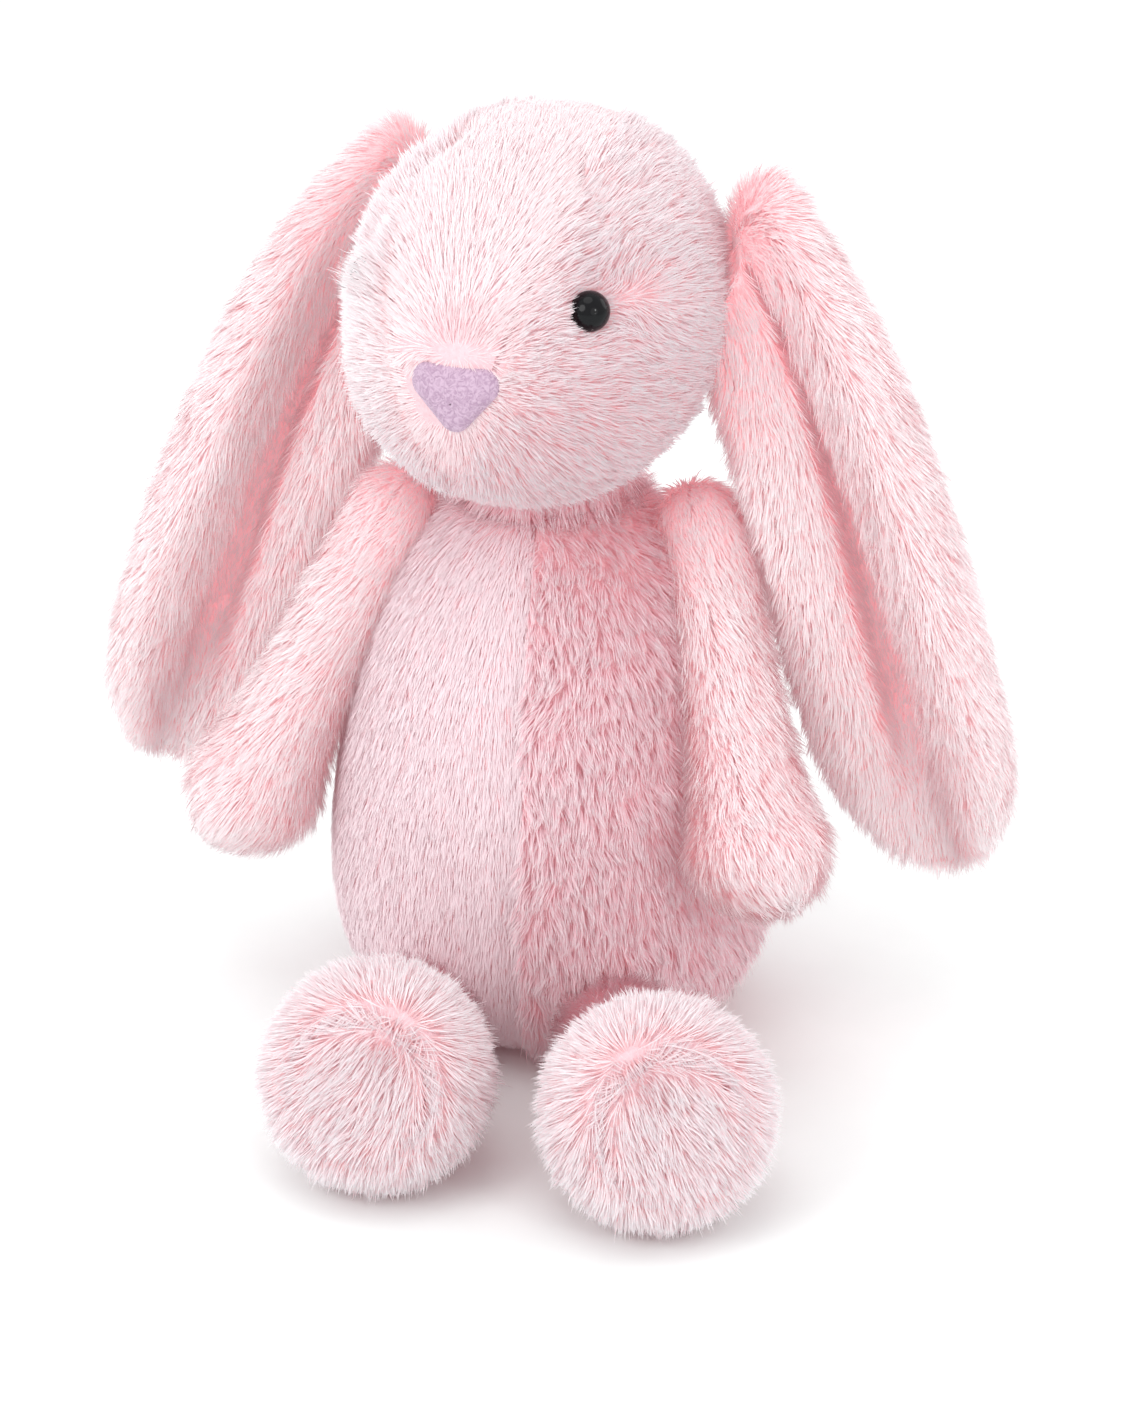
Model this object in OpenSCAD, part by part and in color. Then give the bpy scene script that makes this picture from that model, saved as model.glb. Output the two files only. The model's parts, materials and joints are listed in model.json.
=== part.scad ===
// Sitting plush bunny with long folded ears, sewn from fur panels over stuffing and bean pouches.
// Millimetres, +Z up. The bunny faces -Y and its left side is +X.
// The origin is the middle of the flat seat, on the surface that it sits on.

/* [Cloth] */
// thickness of the fur cloth with its pile pressed down
cloth_t = 5; // [3:0.5:8]
// gap left at each seam, so that every sewn piece stays its own solid
seam_gap = 0.3; // [0.2:0.05:0.6]
// room round the neck and the ankle balls where they turn
root_gap = 0.8; // [0.5:0.1:2]
// room round the rounded root of an arm, a leg or an ear where it swings in its pocket
swing_gap = 4.5; // [2:0.5:8]

/* [Torso] */
// largest radius of the pear-shaped torso
torso_r = 60; // [45:1:75]
// height of the torso's widest ring
torso_bulge_z = 42; // [30:1:60]
// height of the torso's top
torso_h = 146; // [110:1:180]
// radius of the torso where it meets the neck
torso_neck_r = 30; // [20:1:40]
// radius of the flat seat panel
seat_r = 33; // [20:1:45]
// height of the bean pouch that weights the seat
pouch_h = 24; // [12:1:40]
// angle of the side seams, back from the front seam
side_seam = 105; // [80:1:130]

/* [Head] */
// radius of the head across its long axis
head_r = 48; // [35:1:60]
// length of the head from its middle to the chin end
head_front = 54; // [40:1:70]
// length of the head from its middle to the crown end
head_back = 53; // [40:1:70]
// centre of the head
head_at = [-1, -8, 200];
// turn of the head at rest, to the bunny's left
head_turn = -19; // [-60:1:60]
// slope of the head's long axis below level
head_slope = 40; // [0:1:80]
// half the angle that the forehead gusset takes round the long axis
gusset_half = 26; // [10:1:45]
// half the angle that the chin panel takes round the long axis
chin_half = 40; // [20:1:60]
// radius of the neck's sewn core
neck_r = 17; // [10:1:25]
// height of the neck's middle
neck_z = 149; // [140:1:160]

/* [Face] */
// radius of an eye bead
eye_r = 5.2; // [3:0.1:8]
// angle of each eye from the nose direction
eye_spread = 45; // [20:1:70]
// angle of each eye above level
eye_lift = 13; // [-10:1:40]
// width of the nose patch along its top edge
nose_w = 24; // [15:1:40]
// height of the nose patch
nose_h = 16; // [8:1:25]
// slope of the nose direction below level
nose_slope = 11; // [0:1:40]
// how far the nose sits round from the middle of the face, to the bunny's left
nose_side = 6; // [-15:1:15]

/* [Ears] */
// root of each ear from the head's centre, for the bunny's left ear
ear_root = [44, 20, 17];
// full width of the ear cloth laid flat
ear_w = 66; // [40:1:90]
// thickness of the two ear layers together
ear_t = 15; // [8:1:24]
// fold of the ear at its middle, half the angle of its curl
ear_curl = 84; // [20:1:110]
// first bend, second bend and tip of the left ear, from its root
ear_left_path = [[20, 9, 4], [39, 16, -72], [57, 18, -177]];
// first bend, second bend and tip of the right ear, from its root
ear_right_path = [[-26, 8, 2], [-53, 3, -64], [-76, 0, -163]];

/* [Arms] */
// shoulder centre of the left arm
shoulder = [43, -4, 137];
// radius of the arm at the shoulder
arm_root_r = 9.5; // [8:0.5:18]
// radius of the hand
hand_r = 17; // [12:0.5:25]
// distance from the shoulder centre to the hand centre
arm_len = 86; // [60:1:110]
// outward lean of the left and right arm, then their swing to the front
arm_lean = [15, 25];
arm_swing = [31, 12];

/* [Legs and feet] */
// hip centre of the left leg
hip = [25, -48.5, 15.5];
// radius of the leg sleeve
leg_r = 12.5; // [9:0.5:18]
// centre of the left foot, then of the right foot
foot_left_at = [48, -119, 28];
foot_right_at = [-24, -112, 28];
// radius of a foot
foot_r = 28; // [20:0.5:36]
// half the angle that the sole disc takes of the foot
sole_half = 42; // [25:1:55]
// upward tilt of the soles
foot_tilt = 20; // [-20:1:60]
// distance from the foot's centre back to the bean pouch's front face
foot_pouch_at = 6; // [0:1:12]

/* [Tail] */
// radius of the tail ball
tail_r = 16; // [10:1:24]
// centre of the tail
tail_at = [0, 66, 30];

/* [Hidden] */
$fn = 72;
fur_pink = [0.94, 0.76, 0.78];
pale_pink = [0.96, 0.86, 0.87];
stuffing_white = [0.95, 0.95, 0.93];
bean_cloth = [0.85, 0.82, 0.78];
lilac = [0.79, 0.68, 0.83];
bead_black = [0.03, 0.03, 0.035];
far = 200;                           // longer than any piece
neck_at = [0, -2, neck_z];
eye_sink = 2.6;                      // how far the flat back of an eye sits under the fur
shank_r = 1.6;
shank_len = 9;
washer_r = 6;
washer_t = 1.6;
nose_t = 1.7;                        // height of the nose patch above the face
pole_r = 1.5;                        // the panels stop this far from the head's axis
ear_steps = 24;
ear_sides = 9;                       // steps across the ear from edge to edge
tail_pocket_r = tail_r + 3;

// ---- curves ----

function bezier(p, t) = pow(1 - t, 3) * p[0] + 3 * pow(1 - t, 2) * t * p[1]
    + 3 * (1 - t) * t * t * p[2] + pow(t, 3) * p[3];
function slope(p, t) = pow(1 - t, 2) * (p[1] - p[0]) + 2 * (1 - t) * t * (p[2] - p[1])
    + t * t * (p[3] - p[2]);
function unit(v) = v / norm(v);
function flip(v) = [-v[0], v[1], v[2]];

// the outline of the torso, from the seat up to the neck, moved in by d
function torso_line(d) = let (n = 9, wide = torso_r - d, low = d, top = torso_h - d)
    concat(
        [for (i = [0:n]) bezier([[seat_r, low], [wide * 0.86, low],
            [wide, torso_bulge_z * 0.45], [wide, torso_bulge_z]], i / n)],
        [for (i = [1:n]) bezier([[wide, torso_bulge_z], [wide, torso_bulge_z * 1.85],
            [torso_neck_r * 1.22 - d, torso_h * 0.83], [torso_neck_r - d, top]], i / n)]
    );

// the outline of the head about its long axis, from the crown end to the chin end
function head_line(d, near = 0) = let (n = 22)
    [for (i = [0:n]) let (a = 180 * i / n, x = (head_r - d) * sin(a),
        long = (a < 90 ? head_back : head_front) - d) if (x >= near) [x, -long * cos(a)]];

// the outline of an arm about its axis, from the shoulder end to the hand end
function arm_line(d) = let (r0 = arm_root_r - d, r1 = hand_r - d, n = 6, wrist = 22)
    concat(
        [for (i = [0:n]) [r0 * sin(90 * i / n), -r0 * cos(90 * i / n)]],
        [for (i = [1:n]) bezier([[r0, 0], [r0 + 0.3, arm_len * 0.45],
            [r1 * cos(wrist) - 22 * sin(wrist), arm_len - r1 * sin(wrist) - 22 * cos(wrist)],
            [r1 * cos(wrist), arm_len - r1 * sin(wrist)]], i / n)],
        [for (i = [1:2 * n]) let (a = -wrist + (90 + wrist) * i / (2 * n))
            [r1 * cos(a) + (i == 2 * n ? -r1 * cos(a) : 0), arm_len + r1 * sin(a)]]
    );

// ---- where things sit ----

module on_head() translate(head_at) rotate([0, 0, head_turn]) children();
module head_axis() on_head() rotate([90 + head_slope, 0, 0]) children();
module face_point(side, lift) on_head() rotate([0, 0, side]) rotate([90 - lift, 0, 0]) children();
module at_nose() face_point(nose_side, -nose_slope) children();

// how far the head's surface is from its centre in a direction lift degrees above level
// and side degrees round from the nose
function head_reach(side, lift) =
    let (along = cos(side) * cos(lift) * cos(head_slope) - sin(lift) * sin(head_slope),
        long = along > 0 ? head_front : head_back)
    1 / sqrt(pow(along / long, 2) + (1 - along * along) / pow(head_r, 2));

function turned(v, a) = [v[0] * cos(a) - v[1] * sin(a), v[0] * sin(a) + v[1] * cos(a), v[2]];
ear_left_root = head_at + turned(ear_root, head_turn);
ear_right_root = head_at + turned(flip(ear_root), head_turn);

module at_arm(side) {
    left = side > 0;
    translate(left ? shoulder : flip(shoulder))
        rotate([-arm_swing[left ? 0 : 1], 0, 0])
            rotate([0, -side * arm_lean[left ? 0 : 1], 0])
                rotate([180, 0, 0])
                    children();
}

// a leg runs from its hip to its foot
module along_leg(from, to) {
    d = to - from;
    translate(from) rotate([0, 0, atan2(d[1], d[0])])
        rotate([0, 90 - atan2(d[2], norm([d[0], d[1]])), 0]) children();
}

module at_foot(side) {
    from = side > 0 ? hip : flip(hip);
    to = side > 0 ? foot_left_at : foot_right_at;
    translate(to) rotate([0, 0, atan2(to[1] - from[1], to[0] - from[0])])
        rotate([0, 90 - foot_tilt, 0]) children();
}

// ---- the pockets that limb roots sit in, cut from the torso and the head ----

module torso_pockets(extra = 0) {
    translate(neck_at) sphere(neck_r + root_gap + extra);
    for (s = [1, -1]) {
        translate(s > 0 ? shoulder : flip(shoulder)) sphere(arm_root_r + swing_gap + extra);
        translate(s > 0 ? hip : flip(hip)) sphere(leg_r + swing_gap + extra);
    }
    translate(tail_at) sphere(tail_pocket_r + extra);
}

module head_pockets(extra = 0) {
    translate(neck_at) sphere(neck_r + root_gap + extra);
    translate(ear_left_root) sphere(ear_root_r + swing_gap + extra);
    translate(ear_right_root) sphere(ear_root_r + swing_gap + extra);
}

// ---- torso ----

// a slice of the torso's fur shell, from angle a to angle b round the axis
module torso_panel(a, b) {
    inset = seam_gap / torso_r * 57.3 / 2;
    color(fur_pink) difference() {
        rotate([0, 0, a + inset]) rotate_extrude(angle = b - a - 2 * inset)
            difference() {
                polygon(concat([[0, 0]], torso_line(0), [[0, torso_h]]));
                polygon(concat([[0, cloth_t]], torso_line(cloth_t), [[0, torso_h - cloth_t]]));
                square([seat_r + seam_gap, cloth_t]);
            }
        torso_pockets();
    }
}

module torso_front_left() torso_panel(-90, -90 + side_seam);
module torso_front_right() torso_panel(-90 - side_seam, -90);
module torso_back() torso_panel(-90 + side_seam, 270 - side_seam);

module seat_panel() color(fur_pink) cylinder(h = cloth_t - seam_gap, r = seat_r);

module torso_filling(low, high) intersection() {
    rotate_extrude() polygon(concat([[0, cloth_t]], torso_line(cloth_t + seam_gap),
        [[0, torso_h - cloth_t - seam_gap]]));
    translate([-far / 2, -far / 2, low]) cube([far, far, high - low]);
}

module torso_stuffing() color(stuffing_white) difference() {
    torso_filling(cloth_t + pouch_h, far);
    torso_pockets(seam_gap);
}

module seat_bean_pouch() color(bean_cloth) difference() {
    torso_filling(cloth_t + seam_gap, cloth_t + pouch_h - seam_gap);
    torso_pockets(seam_gap);
}

// ---- neck ----

module neck_core() color(pale_pink) translate(neck_at) sphere(neck_r);

// ---- head ----

// a slice of the head's fur shell, from angle a to angle b round the long axis
module head_panel(a, b) {
    inset = seam_gap / head_r * 57.3 / 2;
    color(pale_pink) difference() {
        head_axis() rotate([0, 0, a + inset]) rotate_extrude(angle = b - a - 2 * inset)
            polygon(concat(head_line(0, pole_r),
                [for (i = [0:22]) let (p = head_line(cloth_t)[22 - i]) if (p[0] >= pole_r) p]));
        head_pockets();
        eye_holes();
    }
}

module forehead_gusset() head_panel(90 - gusset_half, 90 + gusset_half);
module cheek_left() head_panel(-90 + chin_half, 90 - gusset_half);
module cheek_right() head_panel(90 + gusset_half, 270 - chin_half);
module chin_panel() head_panel(270 - chin_half, 270 + chin_half);

module head_stuffing() color(stuffing_white) difference() {
    head_axis() rotate_extrude()
        polygon(concat([[0, -head_back + cloth_t + seam_gap]], head_line(cloth_t + seam_gap, 0.5),
            [[0, head_front - cloth_t - seam_gap]]));
    head_pockets(seam_gap);
    for (s = [1, -1]) at_eye(s) translate([0, 0, -shank_len - 1])
        cylinder(h = shank_len + 10, r = washer_r + seam_gap);
}

// ---- nose ----

nose_corner = 4;
function arc(x, y, r, from, to) = [for (i = [0:6]) let (a = from + (to - from) * i / 6)
    [x + r * cos(a), y + r * sin(a)]];
// a triangle with round corners and its point down
module nose_outline() {
    x = nose_w / 2 - nose_corner;
    y = nose_h / 2 - nose_corner;
    r = nose_corner;
    side = atan2(x, 2 * y);
    polygon(concat(arc(x, y, r, -side, 90), arc(-x, y, r, 90, 180 + side),
        arc(0, -y, r, 180 + side, 360 - side)));
}

nose_reach = head_reach(nose_side, -nose_slope);
// the solid of the head, larger all round by grow
module head_solid(grow) head_axis() rotate_extrude() polygon(concat([[0, -head_back - grow]],
    head_line(-grow, 0.5), [[0, head_front + grow]]));

// the patch is sewn onto the face, over the seams that meet there
module nose_patch() color(lilac) difference() {
    intersection() {
        at_nose() translate([0, 0, nose_reach - cloth_t]) linear_extrude(far / 4) nose_outline();
        head_solid(nose_t);
    }
    head_solid(seam_gap);
}

// ---- eyes ----

eye_reach = head_reach(eye_spread, eye_lift);
// the origin is the middle of the eye's flat back, and +Z points out of the head
module at_eye(s) face_point(s * eye_spread, eye_lift) translate([0, 0, eye_reach - eye_sink])
    children();

module eye_holes() for (s = [1, -1]) at_eye(s) {
    translate([0, 0, -far / 8]) cylinder(h = far / 4, r = shank_r + seam_gap);
    translate([0, 0, -seam_gap]) cylinder(h = far / 8, r = eye_r + seam_gap);
}

module eye(s) color(bead_black) at_eye(s) {
    intersection() {
        translate([0, 0, -0.4]) sphere(eye_r);
        translate([0, 0, far / 8]) cube(far / 4, center = true);
    }
    translate([0, 0, -shank_len]) cylinder(h = shank_len + 0.5, r = shank_r);
}
module eye_left() eye(1);
module eye_right() eye(-1);

// a disc pressed onto the shank inside the cloth
module eye_washer(s) color(bean_cloth) at_eye(s) difference() {
    translate([0, 0, eye_sink - cloth_t - washer_t - 1.5]) cylinder(h = washer_t, r = washer_r);
    translate([0, 0, -far / 8]) cylinder(h = far / 4, r = shank_r + 0.05);
}
module eye_washer_left() eye_washer(1);
module eye_washer_right() eye_washer(-1);

// ---- ears ----

ear_root_r = 13;
// the cloth is gathered at the root, widest at two thirds and round at the tip
function ear_half_width(t) = ear_w / 2 * (0.3 + 0.7 * pow(sin(90 * min(1, t / 0.68)), 1.3))
    * sqrt(max(0.0004, 1 - pow(max(0, t - 0.72) / 0.28, 2.2)));
function ear_thick(t) = ear_t * (0.9 + 0.1 * min(1, 4 * t))
    * sqrt(max(0.01, 1 - pow(max(0, t - 0.86) / 0.14, 2)));
function ear_fold(t) = ear_curl * (0.55 + 0.45 * sin(180 * min(1, 0.12 + t * 0.8)));

// one cross-section of one ear layer: up is +1 for the back cloth and -1 for the lining
function ear_section(t, up) =
    let (half = ear_half_width(t), fold = ear_fold(t), r = half / (fold * PI / 180),
        t2 = min(ear_thick(t) / 2, r * 0.96), n = ear_sides)
    concat(
        [for (i = [0:n]) let (u = 2 * i / n - 1, h = seam_gap / 2 + (t2 - seam_gap / 2)
            * sqrt(1 - pow(abs(u) * 0.985, 5))) [(r + up * h) * sin(u * fold), r - (r + up * h) * cos(u * fold)]],
        [for (i = [1:n - 1]) let (u = 1 - 2 * i / n, h = seam_gap / 2)
            [(r + up * h) * sin(u * fold), r - (r + up * h) * cos(u * fold)]]
    );

// sweeps the section along the path; open is the direction that the ear's hollow faces
module ear_layer(root, path, open, up) {
    line = [[0, 0, 0], path[0], path[1], path[2]];
    m = 2 * ear_sides;
    rows = [for (i = [0:ear_steps])
        let (t = 1 - pow(1 - i / ear_steps, 1.7), along = unit(slope(line, min(t, 0.995))),
            across = unit(cross(along, open)), out = cross(across, along),
            c = bezier(line, t))
        [for (q = ear_section(t, up)) root + c + across * q[0] + out * q[1]]];
    pts = [for (row = rows) for (p = row) p];
    walls = [for (i = [0:ear_steps - 1]) for (j = [0:m - 1])
        let (a = i * m + j, b = i * m + (j + 1) % m, c = a + m, d = b + m)
        for (f = up > 0 ? [[a, b, d], [a, d, c]] : [[b, a, d], [d, a, c]]) f];
    start = [for (j = [1:m - 2]) up > 0 ? [0, j + 1, j] : [0, j, j + 1]];
    last = ear_steps * m;
    end = [for (j = [1:m - 2]) up > 0 ? [last, last + j, last + j + 1]
        : [last, last + j + 1, last + j]];
    polyhedron(pts, concat(walls, start, end), convexity = 6);
}

ear_left_open = [0.35, -1, 0.1];
ear_right_open = [-0.15, -1, 0.1];
module ear_left_back() color(fur_pink) ear_layer(ear_left_root, ear_left_path, ear_left_open, 1);
module ear_left_lining() color(pale_pink) ear_layer(ear_left_root, ear_left_path, ear_left_open, -1);
module ear_right_back() color(fur_pink) ear_layer(ear_right_root, ear_right_path, ear_right_open, 1);
module ear_right_lining() color(pale_pink) ear_layer(ear_right_root, ear_right_path, ear_right_open, -1);

// ---- arms ----

// half of an arm's fur shell: half is 1 for the outer side and -1 for the side next to the torso
module arm_panel(side, half) {
    inset = seam_gap / arm_root_r * 57.3 / 2;
    start = side * half > 0 ? -90 : 90;
    color(fur_pink) at_arm(side) rotate([0, 0, start + inset])
        rotate_extrude(angle = 180 - 2 * inset)
            difference() {
                polygon(arm_line(0));
                polygon(arm_line(cloth_t));
                translate([0, -far / 2]) square([seam_gap, far * 2]);
            }
}
module arm_left_outer() arm_panel(1, 1);
module arm_left_inner() arm_panel(1, -1);
module arm_right_outer() arm_panel(-1, 1);
module arm_right_inner() arm_panel(-1, -1);

module arm_filling(side) color(stuffing_white) at_arm(side) rotate_extrude()
    polygon(arm_line(cloth_t + seam_gap));
module arm_left_stuffing() arm_filling(1);
module arm_right_stuffing() arm_filling(-1);

// ---- legs ----

// a round-ended tube that stops short of the foot
module leg_solid(side, d) {
    from = side > 0 ? hip : flip(hip);
    to = side > 0 ? foot_left_at : foot_right_at;
    len = norm(to - from);
    r = leg_r - d;
    difference() {
        along_leg(from, to) rotate_extrude()
            polygon(concat([for (i = [0:8]) [r * sin(90 * i / 8), -r * cos(90 * i / 8)]],
                [[r, len], [0, len]]));
        translate(to) sphere(foot_r + root_gap + d);
    }
}
module leg_sleeve(side) color(fur_pink) difference() {
    leg_solid(side, 0);
    leg_solid(side, cloth_t);
}
module leg_filling(side) color(stuffing_white) leg_solid(side, cloth_t + seam_gap);
module leg_left_sleeve() leg_sleeve(1);
module leg_left_stuffing() leg_filling(1);
module leg_right_sleeve() leg_sleeve(-1);
module leg_right_stuffing() leg_filling(-1);

// ---- feet ----

sole_rim_r = foot_r * sin(sole_half);
sole_rim_z = foot_r * cos(sole_half);
sole_bulge = 3.5;                    // how far the sole stands out at its middle
// a round sole, a little flatter than the ball it closes; +Z points out of the sole
function sole_ball_r() = (pow(sole_rim_r, 2) + pow(sole_bulge, 2)) / (2 * sole_bulge);

module foot_ball(d) intersection() {
    sphere(foot_r - d, $fn = 180);
    translate([0, 0, sole_rim_z + sole_bulge - sole_ball_r()]) sphere(sole_ball_r() - d, $fn = 240);
}

module foot_shell(side, front) color(pale_pink) at_foot(side) intersection() {
    difference() {
        foot_ball(0);
        foot_ball(cloth_t);
    }
    edge = sole_rim_z + (front ? seam_gap / 2 : -seam_gap / 2);
    translate([0, 0, front ? edge + far / 2 : edge - far / 2]) cube(far, center = true);
}
module foot_left_upper() foot_shell(1, false);
module foot_left_sole() foot_shell(1, true);
module foot_right_upper() foot_shell(-1, false);
module foot_right_sole() foot_shell(-1, true);

module foot_filling(side, front) color(front ? bean_cloth : stuffing_white) at_foot(side)
    intersection() {
        foot_ball(cloth_t + seam_gap);
        edge = -foot_pouch_at + (front ? seam_gap / 2 : -seam_gap / 2);
        translate([0, 0, front ? edge + far / 2 : edge - far / 2]) cube(far, center = true);
    }
module foot_left_stuffing() foot_filling(1, false);
module foot_left_bean_pouch() foot_filling(1, true);
module foot_right_stuffing() foot_filling(-1, false);
module foot_right_bean_pouch() foot_filling(-1, true);

// ---- tail ----

module tail_cover() color(pale_pink) translate(tail_at) difference() {
    sphere(tail_r);
    sphere(tail_r - cloth_t);
}
module tail_stuffing() color(stuffing_white) translate(tail_at) sphere(tail_r - cloth_t - seam_gap);

torso_front_left();
torso_front_right();
torso_back();
seat_panel();
torso_stuffing();
seat_bean_pouch();
neck_core();
forehead_gusset();
cheek_left();
cheek_right();
chin_panel();
head_stuffing();
nose_patch();
eye_left();
eye_right();
eye_washer_left();
eye_washer_right();
ear_left_back();
ear_left_lining();
ear_right_back();
ear_right_lining();
arm_left_outer();
arm_left_inner();
arm_left_stuffing();
arm_right_outer();
arm_right_inner();
arm_right_stuffing();
leg_left_sleeve();
leg_left_stuffing();
leg_right_sleeve();
leg_right_stuffing();
foot_left_upper();
foot_left_sole();
foot_left_stuffing();
foot_left_bean_pouch();
foot_right_upper();
foot_right_sole();
foot_right_stuffing();
foot_right_bean_pouch();
tail_cover();
tail_stuffing();
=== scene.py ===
"""The looks of the sitting plush bunny: fur pile on soft bodies, bead eyes, a cloth nose, light and camera.

Every soft body is a smooth form that follows its CAD solids, and the pile is grown on it as fine flat
tufts that lie along the nap. Lengths are metres, in the CAD frame: the bunny faces -Y, its left is +X.
"""
import json
import math

import bpy
import numpy as np
from mathutils import Matrix, Vector


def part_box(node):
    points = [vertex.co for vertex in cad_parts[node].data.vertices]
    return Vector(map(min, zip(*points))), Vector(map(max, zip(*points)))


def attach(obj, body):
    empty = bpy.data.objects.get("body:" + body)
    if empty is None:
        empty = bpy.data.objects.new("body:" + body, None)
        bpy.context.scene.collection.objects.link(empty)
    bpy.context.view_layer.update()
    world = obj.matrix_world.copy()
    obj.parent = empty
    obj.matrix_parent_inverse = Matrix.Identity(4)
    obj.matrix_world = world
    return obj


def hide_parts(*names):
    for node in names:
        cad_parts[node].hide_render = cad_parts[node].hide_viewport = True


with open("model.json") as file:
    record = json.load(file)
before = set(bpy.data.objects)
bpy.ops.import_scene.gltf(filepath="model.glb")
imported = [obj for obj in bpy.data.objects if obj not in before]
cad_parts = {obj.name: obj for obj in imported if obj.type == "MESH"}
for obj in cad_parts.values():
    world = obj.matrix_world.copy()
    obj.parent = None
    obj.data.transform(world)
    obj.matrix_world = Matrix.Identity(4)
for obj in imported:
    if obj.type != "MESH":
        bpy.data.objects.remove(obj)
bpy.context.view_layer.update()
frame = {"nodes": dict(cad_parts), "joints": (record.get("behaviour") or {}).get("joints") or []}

MM = 0.001
SIDES = {"left": 1.0, "right": -1.0}

# ---------------------------------------------------------------- driving sizes

SKIN_INSET = 1.6 * MM        # the cloth under the pile lies this far inside the CAD solids
PILE_SINK = 0.8 * MM         # tufts start this far inside the cloth
FLOOR_GAP = 0.25 * MM        # pressed pile stays this far above the floor
SHADING = 0.25               # how much of each tuft's own tilt shows in its shading

SEAT_LIFT = 1.2 * MM         # the seat's cloth is this far above the floor
TORSO_SEAT_R = 33 * MM
TORSO_BULGE_Z = 42 * MM
TORSO_NECK_R = 30 * MM
TORSO_SIDE_SEAM = 105.0      # degrees from the front seam to the side seams
NECK_SWELL = 5 * MM          # the gathered neck stands out this far from its core

HEAD_TURN = math.radians(-19)
HEAD_SLOPE = math.radians(40)
HEAD_R = 48 * MM
HEAD_FRONT = 54 * MM
HEAD_BACK = 53 * MM
GUSSET_HALF = 26.0
CHIN_HALF = 40.0
NOSE_SIDE = math.radians(6)
NOSE_SLOPE = math.radians(11)
EYE_SPREAD = math.radians(45)
EYE_LIFT = math.radians(13)
NOSE_W = 24 * MM
NOSE_H = 16 * MM
NOSE_CORNER = 4.2 * MM
EYE_R = 5.2 * MM

EAR_W = 66 * MM
EAR_CURL = math.radians(112)
EAR_CREASE = 2.6 * MM        # half the thickness of the ear's cloths at its crease
EAR_ROLL = 8.6 * MM          # and at the two rolls beside it
EAR_FOLD_ROLL = 12.5 * MM    # how far the rolls swell into the valley between them
EAR_CAP = 0.055              # the share of the ear's length that rounds over at its root
EAR_SHADE_REACH = 26 * MM    # the ear's pile is deeper in tone this near to the head
EAR_PATHS = {
    "left": ([(14, 6, -1), (41, 13, -72), (61, 16, -174)], (-0.30, -1, 0.1)),
    "right": ([(-21, 8, -1), (-50, 3, -62), (-78, 0, -163)], (0.5, -1, 0.1)),
}

ARM_ROOT_R = 9.5 * MM
HAND_R = 17 * MM
ARM_LEN = 86 * MM
SHOULDER_REACH = 22 * MM     # the pile is shorter, and painted in deeper shaded tones, this far down from the shoulder
ARM_LEAN = {"left": math.radians(15), "right": math.radians(25)}
ARM_SWING = {"left": math.radians(31), "right": math.radians(12)}

LEG_R = 12.5 * MM
FOOT_TILT = math.radians(20)
SOLE_HALF = 42.0

# ---------------------------------------------------------------- small maths


def unit(v):
    return v / np.maximum(np.linalg.norm(v, axis=-1, keepdims=True), 1e-12)


def mix(a, b, t):
    return a + (b - a) * t


def tangent(v, normal):
    """v without its part along normal."""
    return v - (v * normal).sum(-1, keepdims=True) * normal


def turn(axis, angle):
    return np.array(Matrix.Rotation(angle, 3, axis))


def bezier(p, t):
    t = np.asarray(t)[..., None]
    return (1 - t) ** 3 * p[0] + 3 * (1 - t) ** 2 * t * p[1] + 3 * (1 - t) * t * t * p[2] + t ** 3 * p[3]


def bezier_slope(p, t):
    t = np.asarray(t)[..., None]
    return (1 - t) ** 2 * (p[1] - p[0]) + 2 * (1 - t) * t * (p[2] - p[1]) + t * t * (p[3] - p[2])


def waves(points, size, seed, count=3):
    """A smooth random field in -1..1 for each point, count values wide, with features about size across."""
    rng = np.random.default_rng(seed)
    out = np.zeros((len(points), count))
    for k in range(count):
        for octave in (1.0, 1.9):
            for _ in range(4):
                w = rng.normal(size=3) * octave * 2.6 / size
                out[:, k] += np.sin(points @ w + rng.uniform(0, 6.28)) / octave
    return out / 3.2


def joint_at(name):
    return np.array(next(j["pos_m"] for j in frame["joints"] if j["name"] == name))


def nodes_box(*names):
    """The lowest and highest corners of several CAD nodes together."""
    boxes = [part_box(n) for n in names]
    return (np.min([b[0] for b in boxes], axis=0), np.max([b[1] for b in boxes], axis=0))


# ---------------------------------------------------------------- forms


class Form:
    """A smooth surface as a grid of points, with the nap direction and the CAD node at every point.

    depth deepens the pile's colour (0 to 1) as painted shade, rise stands the pile up (radians) and size
    scales its length.
    points is rows x columns x 3, and the last column joins the first.
    """

    def __init__(self, points, flow, nodes, depth=0.0, rise=0.0, size=1.0, outward=None):
        rows, cols = points.shape[:2]
        self.p = points.reshape(-1, 3)
        i = np.arange(rows - 1)[:, None]
        j = np.arange(cols)[None, :]
        a = i * cols + j
        b = i * cols + (j + 1) % cols
        quads = np.stack([a, b, b + cols, a + cols], -1).reshape(-1, 4)
        self.quads = quads
        self.tris = np.concatenate([quads[:, [0, 1, 2]], quads[:, [0, 2, 3]]])
        face = np.cross(self.p[self.tris[:, 1]] - self.p[self.tris[:, 0]],
                        self.p[self.tris[:, 2]] - self.p[self.tris[:, 0]])
        n = np.zeros_like(self.p)
        for k in range(3):
            np.add.at(n, self.tris[:, k], face)
        if (n * (self.p - (self.p.mean(0) if outward is None else outward))).sum() < 0:
            n, self.quads, self.tris = -n, self.quads[:, ::-1], self.tris[:, ::-1]
        self.n = unit(n)
        self.flow = unit(tangent(flow.reshape(-1, 3), self.n))
        self.area = np.linalg.norm(face, axis=1) / 2
        self.nodes = np.asarray(nodes).reshape(-1)
        self.depth, self.rise, self.size = (
            np.broadcast_to(v, (rows, cols)).reshape(-1) for v in (depth, rise, size))


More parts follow.
